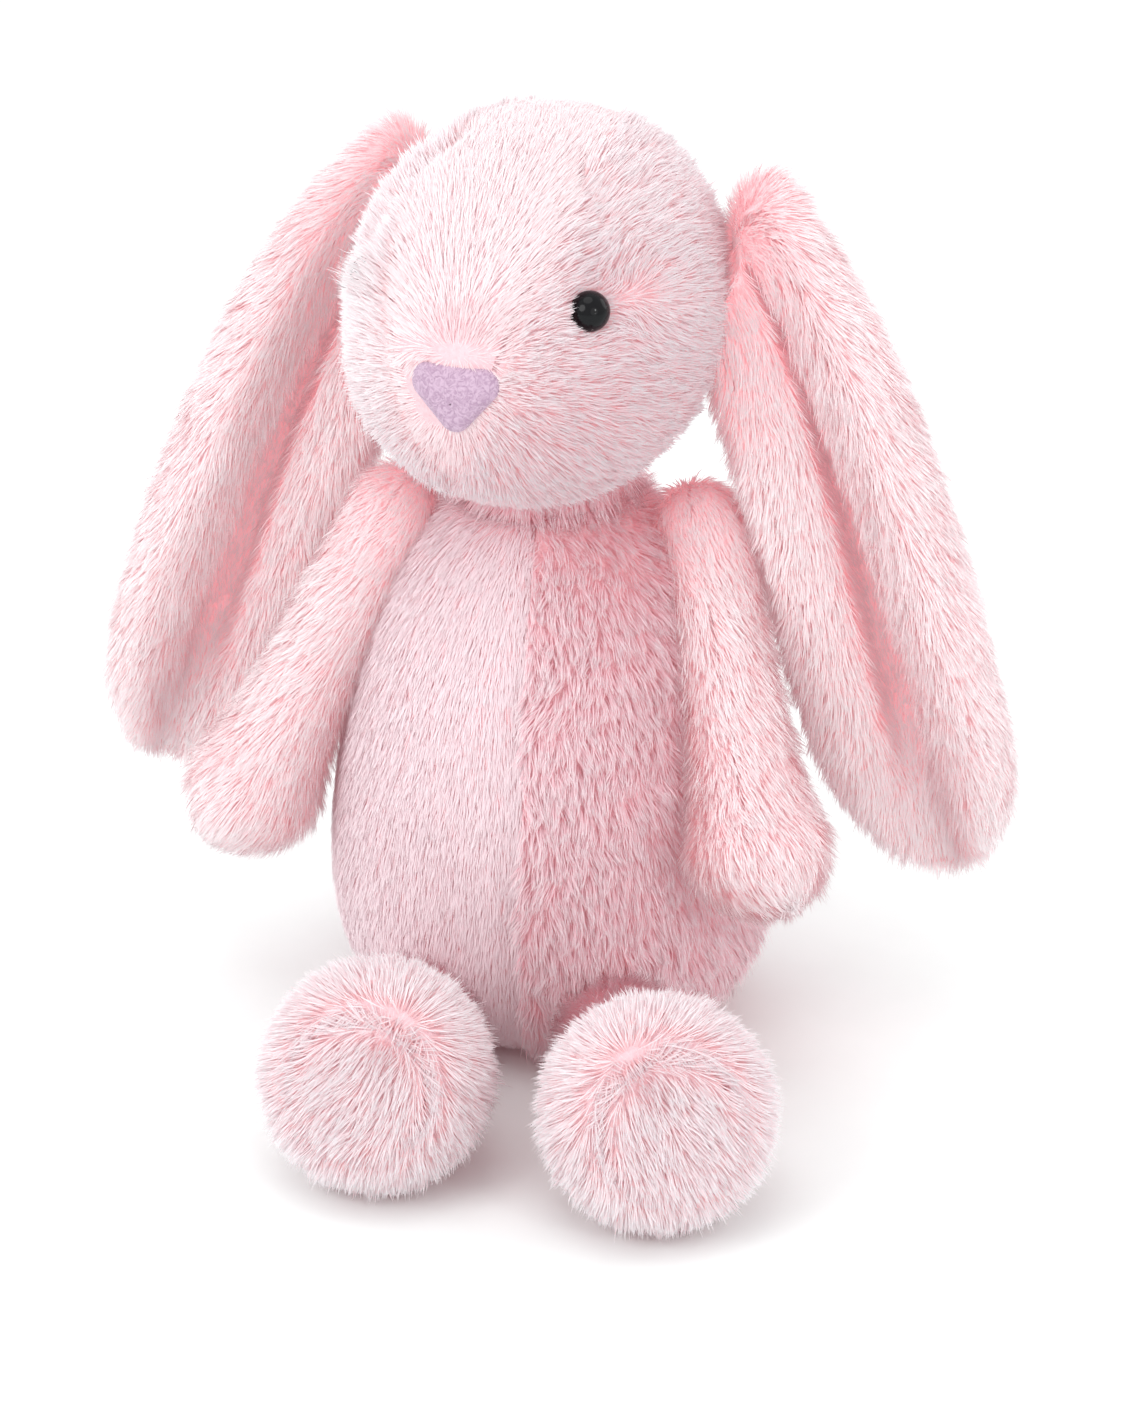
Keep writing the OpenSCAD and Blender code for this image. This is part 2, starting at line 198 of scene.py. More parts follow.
def revolve(profile, count, place):
    """Points of a (radius, height) profile turned about its axis and put in place, and their angles."""
    a = np.linspace(0, 2 * np.pi, count, endpoint=False)
    r, h = profile[:, :1], profile[:, 1:]
    local = np.stack([r * np.cos(a), r * np.sin(a), h + 0 * a], -1)
    return place(local), np.degrees(a)


def torso_form():
    _, high = nodes_box("torso_front_left", "torso_front_right", "torso_back", "seat_panel")
    wide = high[0] - SKIN_INSET
    top = high[2]
    lift = SEAT_LIFT
    lower = np.array([(TORSO_SEAT_R, lift), (wide * 0.86, lift),
                      (wide, TORSO_BULGE_Z * 0.45), (wide, TORSO_BULGE_Z)])
    upper = np.array([(wide, TORSO_BULGE_Z), (wide, TORSO_BULGE_Z * 1.85),
                      (TORSO_NECK_R * 1.5, top * 0.9), (TORSO_NECK_R * 0.8, top - 1 * MM)])
    profile = np.concatenate([[(0.4 * MM, lift), (TORSO_SEAT_R * 0.5, lift)],
                              bezier(lower, np.linspace(0, 1, 26)), bezier(upper, np.linspace(0.03, 1, 40)),
                              [(TORSO_NECK_R * 0.4, top), (0.4 * MM, top)]])
    points, angle = revolve(profile, 144, lambda q: q)
    round_front = (angle + 90 + 180) % 360 - 180            # 0 at the front seam, + towards the left
    # the sewn seams draw the cloth in a little
    seams = sum(np.exp(-((round_front - s) / 3.2) ** 2) for s in (0, TORSO_SIDE_SEAM, -TORSO_SIDE_SEAM))
    draw = 1 - 0.022 * seams * np.clip(np.sin(np.linspace(0, np.pi, len(profile))), 0, 1)[:, None]
    points[..., :2] *= draw[..., None]
    node = np.where(np.abs(round_front) > TORSO_SIDE_SEAM, "torso_back",
                    np.where(round_front > 0, "torso_front_left", "torso_front_right"))
    node = np.where(points[..., 2] < lift + 0.1 * MM, "seat_panel", node[None, :])
    flow = np.zeros_like(points) + (0, 0, -1)
    flow[..., :2] += unit(points[..., :2]) * 0.15
    # painted shade: the pile is deeper in tone on the toy's left, turned from the key light, more so near the
    # top under the head
    high_up = np.clip((points[..., 2] / top - 0.80) / 0.2, 0, 1)
    to_left = np.clip(round_front / 60, 0, 1)[None, :]
    depth = 0.02 * high_up + 0.45 * to_left * (0.6 + 0.4 * high_up)
    return Form(points, flow, node, depth)


def head_centre():
    low, high = nodes_box("forehead_gusset", "cheek_left", "cheek_right", "chin_panel")
    return (low + high) / 2


def face_direction(side, lift):
    """A direction from the head's centre: side radians to the bunny's left, and lift radians above level."""
    a = HEAD_TURN + side
    return np.array([math.sin(a) * math.cos(lift), -math.cos(a) * math.cos(lift), math.sin(lift)])


def head_reach(d):
    """How far the head's CAD surface is from its centre along the directions d."""
    axis = face_direction(0, -HEAD_SLOPE)
    along = d @ axis
    long = np.where(along > 0, HEAD_FRONT, HEAD_BACK)
    return 1 / np.sqrt((along / long) ** 2 + (1 - along ** 2) / HEAD_R ** 2)


def bump(d, at, width):
    """A round bump of height 1 on a sphere of directions d, width radians across."""
    return np.exp(-(np.arccos(np.clip(d @ at, -1, 1)) / width) ** 2)


def head_surface(d, inset=SKIN_INSET):
    """Points of the head's cloth along the directions d: the CAD form with muzzle, cheeks and eye sockets."""
    reach = head_reach(d) - inset
    reach += 3.2 * MM * bump(d, face_direction(NOSE_SIDE, -NOSE_SLOPE - 0.12), 0.42)
    for s in (1, -1):
        reach += 1.6 * MM * bump(d, face_direction(s * 0.62, -0.5), 0.42)
        reach -= 3.0 * MM * bump(d, face_direction(s * EYE_SPREAD, EYE_LIFT), 0.17)
        for step in range(5):                                  # the dart that runs up from the eye
            dart = face_direction(s * (EYE_SPREAD + 0.05 * step), EYE_LIFT + 0.2 + 0.16 * step)
            reach -= 1.8 * MM * bump(d, dart, 0.11)
    return head_centre() + d * reach[..., None]


def on_face(points):
    """How far points are to the left of the nose's middle and above it, along the face."""
    forward = face_direction(NOSE_SIDE, -NOSE_SLOPE)
    left = unit(np.cross(np.array([0, 0, 1.0]), -forward) * -1)
    up = np.cross(forward, left)
    up = up if up[2] > 0 else -up
    return (points - head_centre()) @ left, (points - head_centre()) @ up


def head_form():
    axis = face_direction(0, -HEAD_SLOPE)
    right = np.array([math.cos(HEAD_TURN), math.sin(HEAD_TURN), 0])
    up = np.cross(axis, right)
    rows, cols = 90, 150
    polar = np.linspace(0.004, np.pi - 0.004, rows)[:, None]
    a = np.linspace(0, 2 * np.pi, cols, endpoint=False)[None, :]
    d = (np.sin(polar) * np.cos(a))[..., None] * right + (np.sin(polar) * np.sin(a))[..., None] * -up \
        + (np.cos(polar) + 0 * a)[..., None] * axis
    top = -up if up[2] < 0 else up
    round_top = np.degrees(np.arctan2(d @ right, d @ top))   # 0 along the forehead, + to the left
    points = head_surface(d)
    flow = -face_direction(NOSE_SIDE, -NOSE_SLOPE) + np.zeros_like(points)
    side = (d @ right)[..., None] * right
    flow = flow + 0.35 * side + np.array([0, 0, -0.25])
    whorl = face_direction(EYE_SPREAD + 0.30, EYE_LIFT + 0.05)
    away = d - whorl
    pull = 0.9 * bump(d, whorl, 0.30) / np.maximum(np.linalg.norm(away, axis=-1), 0.05)
    flow = flow + pull[..., None] * away
    x, y = on_face(points)
    fringe = np.exp(-(((x + 3 * MM) / (NOSE_W * 0.42)) ** 4))
    fringe /= 1 + np.exp((y - NOSE_H / 2 - 1.2 * MM) / (0.4 * MM))
    fringe *= (y > NOSE_H * 0.36) & (d @ face_direction(NOSE_SIDE, -NOSE_SLOPE) > 0.5)
    flow = flow * (1 - fringe[..., None]) + fringe[..., None] * np.array([0, 0, -3.0])
    brow = bump(d, face_direction(-EYE_SPREAD + 0.20, EYE_LIFT), 0.14)
    at_eyes = sum(bump(d, face_direction(s * EYE_SPREAD, EYE_LIFT), 0.13) for s in (1, -1))
    near_nose = bump(d, face_direction(NOSE_SIDE, -NOSE_SLOPE + 0.1), 0.35)
    # painted shade: deeper pile tones under the head, at its back, on its left side turned from the key
    # light, in the left eye's socket, on the lower left cheek, in the fringe and just above the nose
    below = np.clip(-d[..., 2] * 1.4 - 0.25, 0, 1)
    behind = np.clip(-(d @ face_direction(0, 0)) + 0.1, 0, 1)
    depth = 0.02 + 0.85 * below + 0.35 * behind + 0.45 * np.clip(d @ right, 0, 1) ** 2
    depth = depth + 0.3 * bump(d, face_direction(EYE_SPREAD + 0.05, EYE_LIFT + 0.15), 0.2)
    depth = depth + 0.7 * bump(d, face_direction(0.9, -0.5), 0.6)
    depth = depth + 0.35 * fringe + 0.4 * bump(d, face_direction(NOSE_SIDE, -NOSE_SLOPE + 0.25), 0.14)
    node = np.where(np.abs(round_top) < GUSSET_HALF, "forehead_gusset",
                    np.where(np.abs(round_top) > 180 - CHIN_HALF, "chin_panel",
                             np.where(round_top > 0, "cheek_left", "cheek_right")))
    return Form(points, flow, node, depth, rise=0.75 * brow + 0.3 * fringe,
                size=1 + 0.75 * brow - 0.15 * fringe - 0.3 * near_nose - 0.3 * at_eyes)


def ear_frame(side, t):
    """Centre line and the across and out directions of an ear at t from root to tip."""
    root = joint_at(f"ear_{side}_lift")
    path, open_to = EAR_PATHS[side]
    line = np.array([(0, 0, 0)] + path) * MM + root
    along = unit(bezier_slope(line, np.minimum(t, 0.995)))
    across = unit(np.cross(along, np.array(open_to)))
    return bezier(line, t), along, across, np.cross(across, along)


def ear_half_width(t):
    taper = 0.5 + 0.5 * np.sin(np.pi / 2 * np.minimum(1, t / 0.68)) ** 1.3
    tip = np.sqrt(np.maximum(0.0004, 1 - (np.maximum(0, t - 0.72) / 0.28) ** 2.2))
    return (EAR_W / 2 + 1.5 * MM) * taper * tip


def ear_fold(t):
    return EAR_CURL * (0.55 + 0.45 * np.sin(np.pi * np.minimum(1, 0.12 + t * 0.8)))


def ear_form(side):
    row = np.linspace(0, 1, 96)
    t = row * row * (3 - 2 * row)                            # rows are closer together at both ends
    centre, along, across, out = ear_frame(side, t)
    half, fold = ear_half_width(t)[:, None], ear_fold(t)[:, None]
    r = half / fold
    u = np.linspace(-1, 1, 44)
    v = np.abs(u)                                            # 0 at the crease, 1 at the ear's edges
    # the crease is thin between the root and the tip, and both ends are full
    valley = (np.clip((t - 0.04) / 0.1, 0, 1) * np.clip((0.93 - t) / 0.12, 0, 1))[:, None]
    swell = np.sin(np.pi * np.clip(v * 1.12 - 0.24, 0, 1)) ** 1.2
    back = mix(EAR_ROLL * 0.75, EAR_CREASE, valley) + (EAR_ROLL - EAR_CREASE) * swell
    inner_swell = np.sin(np.pi / 2 * np.clip((v - 0.16) / 0.42, 0, 1)) ** 2
    inner = EAR_CREASE + (EAR_FOLD_ROLL - EAR_CREASE) * mix(0.7, inner_swell, valley)
    inner = np.minimum(inner, 0.8 * r)
    rim = np.sqrt(1 - (v * 0.985) ** 6) * np.sqrt(np.maximum(0.03, 1 - t[:, None] ** 9))
    loops = []
    for sign, thick in ((1, back * rim), (-1, inner * rim)):   # the back, then the lining back the other way
        uu, hh = (u, thick) if sign > 0 else (u[::-1], thick[:, ::-1])
        rho = r + sign * hh
        x, y = rho * np.sin(uu * fold), r - rho * np.cos(uu * fold)
        loops.append(centre[:, None] + across[:, None] * x[..., None] + out[:, None] * y[..., None])
    points = np.concatenate(loops, 1)
    cap = np.sqrt(np.clip(1 - (1 - np.minimum(t, EAR_CAP) / EAR_CAP) ** 2, 0.0004, 1))[:, None, None]
    middle = points.mean(1, keepdims=True)
    points = middle + (points - middle) * cap
    points[-1] = mix(points[-1], points[-1].mean(0), 0.95)
    spread = np.concatenate([u, u[::-1]])[None, :, None] * across[:, None]
    flow = along[:, None] + 0.35 * spread + np.array([0, 0, -0.15])
    node = np.array([f"ear_{side}_back"] * len(u) + [f"ear_{side}_lining"] * len(u))
    # painted shade: the lining is deeper in tone in its valley, deepest along the crease, and the pile is
    # deeper where the ear lies close against the head
    inside = np.clip((0.8 - v[::-1]) / 0.35, 0, 1)
    in_valley = np.concatenate([0 * u, inside])[None, :] * valley
    crease = np.concatenate([0 * u, np.exp(-(u[::-1] / 0.4) ** 2)])[None, :] * valley
    at_root = np.clip(1 - t[:, None] / 0.07, 0, 1)
    from_head = np.linalg.norm(points - head_centre(), axis=-1) - HEAD_R
    against_head = np.clip(1 - from_head / EAR_SHADE_REACH, 0, 1)
    depth = 0.04 + 0.3 * in_valley + 0.65 * crease + 0.7 * against_head
    return Form(points, flow, np.broadcast_to(node, points.shape[:2]), depth,
                size=1 - 0.35 * crease - 0.2 * at_root,
                outward=np.repeat(middle, len(node), 1).reshape(-1, 3))


def arm_place(side):
    s = SIDES[side]
    m = turn("X", -ARM_SWING[side]) @ turn("Y", -s * ARM_LEAN[side]) @ turn("X", math.pi)
    shoulder = joint_at(f"arm_{side}_swing") - np.array([s * 2.5 * MM, 0, -2.5 * MM])
    return lambda q: q @ m.T + shoulder, m


def arm_form(side):
    r0, r1, wrist = ARM_ROOT_R + 1.6 * MM, HAND_R - SKIN_INSET + 0.8 * MM, math.radians(15)
    root = [(r0 * math.sin(a), -r0 * math.cos(a)) for a in np.linspace(0.05, math.pi / 2, 8)]
    join = (r1 * math.cos(wrist), ARM_LEN - r1 * math.sin(wrist))
    control = np.array([(r0, 0), (r0 + 0.3 * MM, ARM_LEN * 0.45),
                        (join[0] - 24 * MM * math.sin(wrist), join[1] - 24 * MM * math.cos(wrist)), join])
    hand = [(r1 * math.cos(a), ARM_LEN + r1 * math.sin(a))
            for a in np.linspace(-wrist + 0.05, math.pi / 2 - 0.01, 22)]
    profile = np.concatenate([root, bezier(control, np.linspace(0.03, 1, 34)), hand])
    place, m = arm_place(side)
    points, angle = revolve(profile, 60, place)
    flow = m @ np.array([0, 0, 1.0]) + np.array([SIDES[side] * 0.45, -0.35, 0]) + np.zeros_like(points)
    outer = np.cos(np.radians(angle)) * SIDES[side] > 0
    node = np.where(outer, f"arm_{side}_outer", f"arm_{side}_inner")
    # painted shade: deeper pile tones near the shoulder, where the arm meets the body
    near_root = np.clip(1 - profile[:, 1:] / SHOULDER_REACH, 0, 1) + 0 * angle
    return Form(points, flow, np.broadcast_to(node, points.shape[:2]), 0.05 + 0.3 * near_root,
                rise=-0.2 * near_root, size=1 - 0.2 * near_root)


def leg_form(side):
    hip, foot = joint_at(f"leg_{side}_swing"), joint_at(f"foot_{side}_flex")
    axis = unit(foot - hip)
    across = unit(np.cross(axis, (0, 0, 1.0)))
    up = np.cross(across, axis)
    m = np.stack([across, up, axis], 1)
    length = np.linalg.norm(foot - hip) - 14 * MM
    r = LEG_R - SKIN_INSET + 1.0 * MM
    profile = np.array([(r * math.sin(a), -r * math.cos(a)) for a in np.linspace(0.05, math.pi / 2, 8)]
                       + [(r, z) for z in np.linspace(0.04, 1, 18) * length])
    points, _ = revolve(profile, 48, lambda q: q @ m.T + hip)
    return Form(points, axis + np.zeros_like(points), np.full(points.shape[:2], f"leg_{side}_sleeve"))


def foot_axis(side):
    hip, foot = joint_at(f"leg_{side}_swing"), joint_at(f"foot_{side}_flex")
    level = unit((foot - hip) * (1, 1, 0))
    return level * math.cos(FOOT_TILT) + np.array([0, 0, math.sin(FOOT_TILT)])


def foot_form(side):
    centre = joint_at(f"foot_{side}_flex")
    low, high = nodes_box(f"foot_{side}_upper", f"foot_{side}_sole")
    r = (high[2] - low[2]) / 2 - SKIN_INSET
    axis = foot_axis(side)
    across = unit(np.cross(axis, (0, 0, 1.0)))
    up = np.cross(across, axis)
    polar = np.linspace(0.01, np.pi - 0.01, 60)[:, None]
    a = np.linspace(0, 2 * np.pi, 90, endpoint=False)[None, :]
    d = (np.sin(polar) * np.cos(a))[..., None] * across + (np.sin(polar) * np.sin(a))[..., None] * up \
        + (np.cos(polar) + 0 * a)[..., None] * axis
    rim = math.radians(SOLE_HALF)
    flat = math.cos(rim) / np.maximum(np.cos(polar), 1e-3)
    flat = np.minimum(1, flat + 0.045 * np.exp(-(polar / rim) ** 2))
    seam = np.exp(-((polar - rim) / 0.06) ** 2) + 0 * a
    reach = r * np.where(polar < rim, np.clip(flat, 0.8, 1), 1) - 2.2 * MM * seam
    points = centre + d * reach[..., None]
    points[..., 2] = np.maximum(points[..., 2], 1.0 * MM)
    s = SIDES[side]
    whorl = unit(axis * 0.75 + np.array([0, 0, 0.55]) - s * 0.28 * np.array([1.0, 0, 0]))
    flow = -whorl + np.zeros_like(points)
    node = np.where(polar < rim, f"foot_{side}_sole", f"foot_{side}_upper")
    # painted shade: the foot's pile is a little deeper in tone all over, and deeper still at the whorl's
    # centre and along the sole's seam
    depth = 0.2 + 0.5 * bump(d, whorl, 0.12) + 0.3 * seam
    return Form(points, flow, np.broadcast_to(node, points.shape[:2]), depth,
                rise=0.5 * bump(d, whorl, 0.2), size=1 - 0.3 * seam)


def tail_form():
    low, high = nodes_box("tail_cover")
    centre, r = (low + high) / 2, (high[0] - low[0]) / 2 - SKIN_INSET
    polar = np.linspace(0.01, np.pi - 0.01, 36)[:, None]
    a = np.linspace(0, 2 * np.pi, 48, endpoint=False)[None, :]
    d = np.stack([np.sin(polar) * np.cos(a), np.cos(polar) + 0 * a, np.sin(polar) * np.sin(a)], -1)
    flow = np.array([0, -1.0, -0.6]) + np.zeros_like(d)
    return Form(centre + d * r, flow, np.full(d.shape[:2], "tail_cover"))


def neck_form():
    low, high = nodes_box("neck_core")
    centre, r = (low + high) / 2, (high[0] - low[0]) / 2 + NECK_SWELL
    polar = np.linspace(0.01, np.pi - 0.01, 30)[:, None]
    a = np.linspace(0, 2 * np.pi, 60, endpoint=False)[None, :]
    d = np.stack([np.sin(polar) * np.cos(a), np.sin(polar) * np.sin(a), np.cos(polar) + 0 * a], -1)
    # painted shade: the neck under the head is all in a deeper tone
    return Form(centre + d * r, np.array([0, 0, -1.0]) + d * 0.2, np.full(d.shape[:2], "neck_core"), 0.35)


# ---------------------------------------------------------------- materials


def principled(name, colour, roughness, **inputs):
    material = bpy.data.materials.new(name)
    material.use_nodes = True
    shader = material.node_tree.nodes["Principled BSDF"]
    shader.inputs["Base Color"].default_value = (*colour, 1)
    shader.inputs["Roughness"].default_value = roughness
    for key, value in inputs.items():
        shader.inputs[key.replace("_", " ")].default_value = value
    return material


def noise_texture(tree, scale, detail=4.0, roughness=0.5):
    node = tree.nodes.new("ShaderNodeTexNoise")
    node.inputs["Scale"].default_value = scale
    node.inputs["Detail"].default_value = detail
    node.inputs["Roughness"].default_value = roughness
    coords = tree.nodes.new("ShaderNodeTexCoord")
    tree.links.new(coords.outputs["Object"], node.inputs["Vector"])
    return node


def colour_ramp(tree, source, low, high, start=0.3, stop=0.7):
    ramp = tree.nodes.new("ShaderNodeValToRGB")
    ramp.color_ramp.elements[0].position, ramp.color_ramp.elements[1].position = start, stop
    ramp.color_ramp.elements[0].color, ramp.color_ramp.elements[1].color = (*low, 1), (*high, 1)
    tree.links.new(source, ramp.inputs["Fac"])
    return ramp


def add_bump(tree, source, strength, distance):
    node = tree.nodes.new("ShaderNodeBump")
    node.inputs["Strength"].default_value = strength
    node.inputs["Distance"].default_value = distance
    tree.links.new(source, node.inputs["Height"])
    tree.links.new(node.outputs["Normal"], tree.nodes["Principled BSDF"].inputs["Normal"])


def backing_cloth(name, low, high):
    """The knitted cloth that carries the pile, darker between its loops where its bump sinks, as painted
    shade.
    """
    material = principled(name, high, 0.95)
    tree = material.node_tree
    loops = noise_texture(tree, 900, 2.0)
    ramp = colour_ramp(tree, loops.outputs["Fac"], low, high)
    tree.links.new(ramp.outputs["Color"], tree.nodes["Principled BSDF"].inputs["Base Color"])
    add_bump(tree, loops.outputs["Fac"], 0.6, 0.6 * MM)
    return material


def nose_cloth():
    """Short lilac velour with a fine curly knit."""
    material = principled("nose_cloth", (0.6, 0.42, 0.54), 0.8, Sheen_Weight=0.3, Sheen_Roughness=0.4)
    tree = material.node_tree
    curls = noise_texture(tree, 620, 1.5)
    curls.inputs["Distortion"].default_value = 2.2
    # the curls' colour follows their bump: their darker hollows are painted shade, along with the velour's
    # own mottling
    ramp = colour_ramp(tree, curls.outputs["Fac"], (0.40, 0.26, 0.37), (0.56, 0.40, 0.52), 0.36, 0.62)
    tree.links.new(ramp.outputs["Color"], tree.nodes["Principled BSDF"].inputs["Base Color"])
    add_bump(tree, curls.outputs["Fac"], 0.7, 0.5 * MM)
    return material


def eye_bead():
    """Polished black plastic with faint handling marks in its gloss."""
    material = principled("eye_bead", (0.004, 0.004, 0.005), 0.08, Specular_IOR_Level=0.2)
    tree = material.node_tree
    marks = noise_texture(tree, 500, 3.0)
    ramp = colour_ramp(tree, marks.outputs["Fac"], (0.05, 0.05, 0.05), (0.13, 0.13, 0.13))
    tree.links.new(ramp.outputs["Color"], tree.nodes["Principled BSDF"].inputs["Roughness"])
    return material


STRANDS = 5
GLOW_COLOUR = (1.0, 0.48, 0.52, 1)


def pile_tones(name, root, middle, tip, glow=0.5):
    """Root, middle and tip tones of one colour of pile, in strands from light to deep: the roots are painted
    deeper than the tips as shade down in the pile, and the deep strands carry the forms' painted shade as
    well as random streaks.

    The faint coral glow stands for the light that the fibres pass on to each other.
    """
    tones = []
    for k in range(STRANDS):
        for part, colour, share in (("root", root, 0.17), ("middle", middle, 0.09), ("tip", tip, 0.03)):
            deeper = [c ** (1 + 0.22 * k) * (1 - 0.035 * k) for c in colour]
            tones.append(principled(f"{name}_{part}_{k}", deeper, 0.9, Sheen_Weight=0.1, Sheen_Roughness=0.5,
                                    Specular_IOR_Level=0.1, Emission_Color=GLOW_COLOUR,
                                    Emission_Strength=glow * share * (1 + 0.6 * k)))
    return tones


PILES = {
    "pink_sleek": pile_tones("pink_sleek", (0.87, 0.68, 0.72), (0.88, 0.73, 0.77), (0.89, 0.765, 0.80)),
    "pink_tufted": pile_tones("pink_tufted", (0.86, 0.52, 0.57), (0.875, 0.645, 0.69), (0.89, 0.755, 0.785)),
    "pale_tufted": pile_tones("pale_tufted", (0.90, 0.60, 0.62), (0.905, 0.785, 0.805), (0.915, 0.865, 0.878),
                              glow=0.85),
    "face_sleek": pile_tones("face_sleek", (0.87, 0.70, 0.725), (0.875, 0.76, 0.78), (0.88, 0.79, 0.81),
                             glow=0.65),
    "face_tufted": pile_tones("face_tufted", (0.86, 0.62, 0.64), (0.865, 0.755, 0.78), (0.87, 0.83, 0.85),
                              glow=0.45),
}
CLOTHS = {
    "pink": backing_cloth("backing_pink", (0.93, 0.52, 0.56), (0.96, 0.62, 0.66)),
    "pale": backing_cloth("backing_pale", (0.95, 0.62, 0.66), (0.97, 0.72, 0.75)),
    "face": backing_cloth("backing_face", (0.80, 0.50, 0.54), (0.84, 0.58, 0.62)),
}

# ---------------------------------------------------------------- meshes


def make_mesh(name, points, faces, materials, material_of=None, normals=None):
    """An object from arrays: points n x 3, and faces a list of index arrays, each with its own width."""
    mesh = bpy.data.meshes.new(name)
    loops = np.concatenate([f.reshape(-1) for f in faces])
    widths = np.concatenate([np.full(len(f), f.shape[1]) for f in faces])
    starts = np.concatenate([[0], np.cumsum(widths)[:-1]])
    mesh.vertices.add(len(points))
    mesh.vertices.foreach_set("co", points.astype(np.float32).ravel())
    mesh.loops.add(len(loops))
    mesh.loops.foreach_set("vertex_index", loops.astype(np.int32))
    mesh.polygons.add(len(widths))
    mesh.polygons.foreach_set("loop_start", starts.astype(np.int32))
    for material in materials:
        mesh.materials.append(material)
    if material_of is not None:
        mesh.polygons.foreach_set("material_index", material_of.astype(np.int32))
    mesh.polygons.foreach_set("use_smooth", np.full(len(widths), True))
    mesh.update(calc_edges=True)
    if normals is not None:
        mesh.normals_split_custom_set_from_vertices(normals.astype(np.float32))
    obj = bpy.data.objects.new(name, mesh)
    bpy.context.scene.collection.objects.link(obj)
    return obj


def skin_piece(form, node, material):
    """The cloth of one sewn panel: the part of the form that belongs to a CAD node."""
    quads = form.quads[(form.nodes[form.quads] == node).any(1)]
    used, index = np.unique(quads, return_inverse=True)
    return make_mesh(f"{node}_cloth", form.p[used], [index.reshape(-1, 4)], [material])


def nearest_clump(points, size, seed):
    """For each point the nearest of a cloud of clump centres about size apart, and that clump's number."""
    cell = np.floor(points / size).astype(np.int64)
    best = np.full(len(points), np.inf)
    at = np.zeros_like(points)
    number = np.zeros(len(points), np.int64)
    for dx in (-1, 0, 1):
        for dy in (-1, 0, 1):
            for dz in (-1, 0, 1):
                c = cell + (dx, dy, dz)
                key = (c[:, 0] * 73856093) ^ (c[:, 1] * 19349663) ^ (c[:, 2] * 83492791) ^ (seed * 2654435761)
                key &= 0x7FFFFFFF
                jitter = np.stack([((key * m) & 0xFFFF) / 65536.0 for m in (40503, 30011, 52361)], -1)
                centre = (c + jitter) * size
                far = ((centre - points) ** 2).sum(1)
                closer = far < best
                best[closer], at[closer], number[closer] = far[closer], centre[closer], key[closer]
    return at, number


def pile_piece(form, node, tones, length, density, lean=(0.75, 1.15), clump=3.6 * MM, pull=0.55, ruffle=0.25,
               wander=22 * MM, streaks=0.4, mess=1.0, width=0.24 * MM, keep=None, seed=1):
    """The pile of one panel: tapered tufts that start under the cloth, rise and lie over along the nap.

    density is tufts per square millimetre, and lean the angle from upright at a tuft's root and at its tip.
    clump is how far apart the clumps are, and pull how much their tufts draw together. ruffle is how far the
    nap wanders, over patches wander across. streaks is how much the tufts differ in tone, and mess how much
    they differ in lean and length. keep(points) says which tufts to grow.
    """
    rng = np.random.default_rng(seed)
    mine = form.nodes[form.tris[:, 0]] == node
    tris, area = form.tris[mine], form.area[mine]
    count = int(density * area.sum() / MM ** 2)
    pick = rng.choice(len(tris), count, p=area / area.sum())
    w = rng.dirichlet((1, 1, 1), count)[..., None]
    corner = tris[pick]
    p = (form.p[corner] * w).sum(1)
    if keep is not None:
        stay = keep(p)
        p, corner, w = p[stay], corner[stay], w[stay]
        count = len(p)
    n = unit((form.n[corner] * w).sum(1))
    nap = unit(tangent((form.flow[corner] * w).sum(1), n))
    centre, number = nearest_clump(p, clump, seed)
    own = np.stack([((number * m) & 0xFFFF) / 32768.0 - 1 for m in (26699, 48271, 61637, 12011)], -1)
    nap = unit(tangent(nap + ruffle * waves(p, wander, seed + 7) + 0.55 * ruffle * own[:, :3]
                       + 0.1 * rng.normal(size=p.shape), n))
    rise, size, depth = ((v[corner][..., None] * w).sum(1) for v in (form.rise, form.size, form.depth))
    tuft = length * size * (1 + mess * (0.16 * own[:, 3:] + 0.14 * rng.normal(size=(count, 1))))
    lean0 = lean[0] - rise + mess * (0.12 * own[:, :1] + 0.08 * rng.normal(size=(count, 1)))
    lean1 = lean[1] - rise + mess * (0.18 * own[:, 1:2] + 0.12 * rng.normal(size=(count, 1)))
    rise0 = n * np.cos(lean0) + nap * np.sin(lean0)
    rise1 = n * np.cos(lean1) + nap * np.sin(lean1)
    to_centre = tangent(centre - p, n)
    knots = [p - n * PILE_SINK]
    knots.append(knots[0] + rise0 * tuft * 0.40)
    knots.append(knots[1] + unit(rise0 + rise1) * tuft * 0.32 + to_centre * pull * 0.45)
    knots.append(knots[2] + rise1 * tuft * 0.28 + to_centre * pull * 0.4)
    for k in knots:
        k[:, 2] = np.maximum(k[:, 2], FLOOR_GAP + 0.4 * MM * rng.random(count))
    across = unit(np.cross(rise0, n))
    out = np.cross(across, rise0)
    twist = rng.normal(scale=0.25, size=(count, 1))
    across = across * np.cos(twist) + out * np.sin(twist)
    half = width / 2 * (1 + 0.25 * rng.normal(size=(count, 1)))
    left = [knots[k] - across * half * s for k, s in ((0, 1.0), (1, 0.95), (2, 0.7))]
    right = [knots[k] + across * half * s for k, s in ((0, 1.0), (1, 0.95), (2, 0.7))]
    points = np.stack([left[0], right[0], left[1], right[1], left[2], right[2], knots[3]], 1).reshape(-1, 3)
    base = np.arange(count)[:, None] * 7
    quads = np.concatenate([base + (0, 1, 3, 2), base + (2, 3, 5, 4)])
    tips = base + (4, 5, 6)
    # each tuft's tone level is the form's painted shade plus a random streak of its own
    deep = depth[:, 0] + streaks * rng.random(count)
    tone = (np.clip(deep, 0, 0.999) * (len(tones) // 3)).astype(int) * 3
    material_of = np.concatenate([tone, tone + 1, tone + 2])
    blade_n = np.repeat(unit(n + SHADING * np.cross(across, rise0)), 7, 0)
    return make_mesh(f"{node}_pile", points, [quads, tips], tones, material_of, blade_n)


